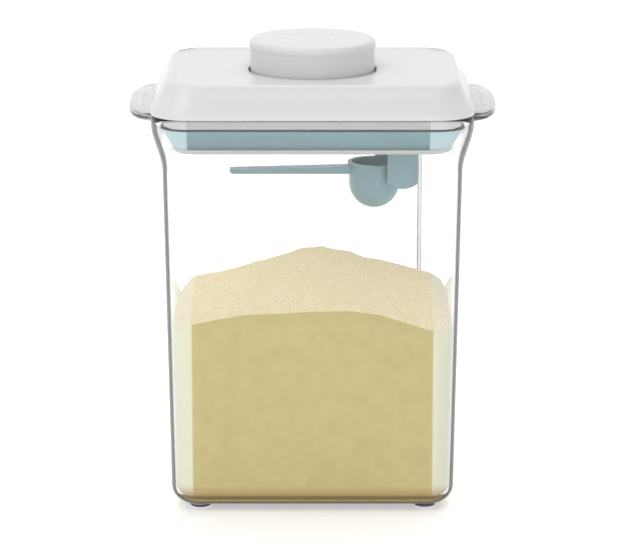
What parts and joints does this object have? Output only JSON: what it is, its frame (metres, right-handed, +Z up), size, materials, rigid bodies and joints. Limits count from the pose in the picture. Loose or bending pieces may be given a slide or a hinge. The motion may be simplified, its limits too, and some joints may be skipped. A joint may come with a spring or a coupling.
{
  "type": "formula dispenser",
  "caption": "Airtight clear container for milk formula with a push-button lid, a scoop clipped under the lid and a leveller strip.",
  "frame": {"origin": "on the table, under the middle of the base", "axes": "+Z up, front -Y, +X to the right; the widest extent over the ears is along X and the tallest along Z"},
  "size_m": [0.185, 0.128, 0.234],
  "materials": {
    "clear_plastic": "clear, polished",
    "white_gloss": "glossy",
    "white_satin": "satin",
    "teal_plastic": "satin gloss",
    "teal_silicone": "soft matte",
    "powder": "fine dry powder",
    "steel": "bright wire and screws"
  },
  "bodies": {
    "container": {"container": "clear_plastic", "leveller": "clear_plastic", "formula_powder": "powder"},
    "lid": {"lid_shell": "white_gloss", "inner_lid": "white_satin", "lid_screws": "steel", "rocker_pin_left": "steel", "rocker_pin_right": "steel", "seal": "teal_silicone", "return_spring": "steel"},
    "button": {"button_cap": "white_gloss", "button_stem": "white_satin"},
    "rocker_front_left": {"rocker_front_left": "white_satin"},
    "rocker_rear_left": {"rocker_rear_left": "white_satin"},
    "rocker_front_right": {"rocker_front_right": "white_satin"},
    "rocker_rear_right": {"rocker_rear_right": "white_satin"},
    "latch": {"latch_wire": "steel"},
    "plate": {"pressure_plate": "white_satin", "lift_hook_front_left": "white_satin", "lift_hook_rear_left": "white_satin", "lift_hook_front_right": "white_satin", "lift_hook_rear_right": "white_satin", "hook_screws": "steel", "scoop_holder": "teal_plastic"},
    "scoop": {"scoop": "teal_plastic"}
  },
  "joints": [
    {"name": "lid_lift", "type": "slide", "parent": "container", "child": "lid", "axis": [0, 0, 1], "range_m": [0, 0.09]},
    {"name": "button_press", "type": "slide", "parent": "lid", "child": "button", "axis": [0, 0, 1], "range_m": [-0.012, 0], "stiffness_N_per_m": 500, "springref_m": 0.006, "deforming": ["return_spring"]},
    {"name": "rocker_front_left_swing", "type": "hinge", "parent": "lid", "child": "rocker_front_left", "pos_m": [-0.0485, -0.022, 0.20335], "axis": [0, 1, 0], "range_deg": [0, 24.75]},
    {"name": "rocker_front_right_swing", "type": "hinge", "parent": "lid", "child": "rocker_front_right", "pos_m": [0.0485, -0.022, 0.20335], "axis": [0, 1, 0], "range_deg": [-24.75, 0]},
    {"name": "rocker_rear_left_swing", "type": "hinge", "parent": "lid", "child": "rocker_rear_left", "pos_m": [-0.0485, 0.022, 0.20335], "axis": [0, 1, 0], "range_deg": [0, 24.75]},
    {"name": "rocker_rear_right_swing", "type": "hinge", "parent": "lid", "child": "rocker_rear_right", "pos_m": [0.0485, 0.022, 0.20335], "axis": [0, 1, 0], "range_deg": [-24.75, 0]},
    {"name": "plate_lift", "type": "slide", "parent": "lid", "child": "plate", "axis": [0, 0, 1], "range_m": [0, 0.003], "deforming": ["seal"]},
    {"name": "latch_swing", "type": "hinge", "parent": "lid", "child": "latch", "pos_m": [0, -0.0052, 0.1962], "axis": [0, 1, 0], "range_deg": [0, 12]},
    {"name": "scoop_slide", "type": "slide", "parent": "plate", "child": "scoop", "axis": [-1, 0, 0], "range_m": [0, 0.026]}
  ],
  "couplings": [
    {"joint": "rocker_front_left_swing", "follows": "button_press", "rad_per_m": -35.993},
    {"joint": "rocker_front_right_swing", "follows": "button_press", "rad_per_m": 35.993},
    {"joint": "rocker_rear_left_swing", "follows": "button_press", "rad_per_m": -35.993},
    {"joint": "rocker_rear_right_swing", "follows": "button_press", "rad_per_m": 35.993},
    {"joint": "plate_lift", "follows": "button_press", "ratio": -0.25},
    {"joint": "latch_swing", "follows": "button_press", "rad_per_m": -17.44}
  ]
}
